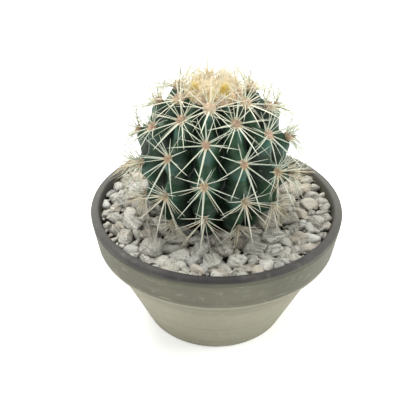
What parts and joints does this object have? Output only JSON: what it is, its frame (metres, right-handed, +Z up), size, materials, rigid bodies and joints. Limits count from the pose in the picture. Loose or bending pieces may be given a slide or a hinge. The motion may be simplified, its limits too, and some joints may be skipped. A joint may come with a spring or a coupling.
{
  "type": "potted round cactus",
  "caption": "Round ribbed barrel cactus with pale spines, growing in a flared clay pot under pumice gravel.",
  "frame": {"origin": "centre of the pot's underside, on the surface that it stands on", "axes": "+Z up from the pot's underside to the growing point; -Y towards the side that is shown in the picture; +X to the right of it"},
  "size_m": [0.14, 0.14, 0.1539],
  "materials": {
    "pot": "matt fired clay",
    "soil": "dry potting mix of bark and peat",
    "gravel": "rough pumice",
    "skin": "waxy plant skin",
    "spine": "dry plant spine on felt",
    "wool": "plant wool"
  },
  "bodies": {
    "root": {"pot": "pot", "soil": "soil", "gravel": "gravel", "cactus_body": "skin", "crown": "wool", "spine_cluster_rib_01_row_1": "spine", "spine_cluster_rib_01_row_2": "spine", "spine_cluster_rib_01_row_3": "spine", "spine_cluster_rib_01_row_4": "spine", "spine_cluster_rib_02_row_1": "spine", "spine_cluster_rib_02_row_2": "spine", "spine_cluster_rib_02_row_3": "spine", "spine_cluster_rib_02_row_4": "spine", "spine_cluster_rib_03_row_1": "spine", "spine_cluster_rib_03_row_2": "spine", "spine_cluster_rib_03_row_3": "spine", "spine_cluster_rib_03_row_4": "spine", "spine_cluster_rib_04_row_1": "spine", "spine_cluster_rib_04_row_2": "spine", "spine_cluster_rib_04_row_3": "spine", "spine_cluster_rib_04_row_4": "spine", "spine_cluster_rib_05_row_1": "spine", "spine_cluster_rib_05_row_2": "spine", "spine_cluster_rib_05_row_3": "spine", "spine_cluster_rib_05_row_4": "spine", "spine_cluster_rib_06_row_1": "spine", "spine_cluster_rib_06_row_2": "spine", "spine_cluster_rib_06_row_3": "spine", "spine_cluster_rib_06_row_4": "spine", "spine_cluster_rib_07_row_1": "spine", "spine_cluster_rib_07_row_2": "spine", "spine_cluster_rib_07_row_3": "spine", "spine_cluster_rib_07_row_4": "spine", "spine_cluster_rib_08_row_1": "spine", "spine_cluster_rib_08_row_2": "spine", "spine_cluster_rib_08_row_3": "spine", "spine_cluster_rib_08_row_4": "spine", "spine_cluster_rib_09_row_1": "spine", "spine_cluster_rib_09_row_2": "spine", "spine_cluster_rib_09_row_3": "spine", "spine_cluster_rib_09_row_4": "spine", "spine_cluster_rib_10_row_1": "spine", "spine_cluster_rib_10_row_2": "spine", "spine_cluster_rib_10_row_3": "spine", "spine_cluster_rib_10_row_4": "spine", "spine_cluster_rib_11_row_1": "spine", "spine_cluster_rib_11_row_2": "spine", "spine_cluster_rib_11_row_3": "spine", "spine_cluster_rib_11_row_4": "spine", "spine_cluster_rib_12_row_1": "spine", "spine_cluster_rib_12_row_2": "spine", "spine_cluster_rib_12_row_3": "spine", "spine_cluster_rib_12_row_4": "spine", "spine_cluster_rib_13_row_1": "spine", "spine_cluster_rib_13_row_2": "spine", "spine_cluster_rib_13_row_3": "spine", "spine_cluster_rib_13_row_4": "spine"}
  },
  "joints": []
}
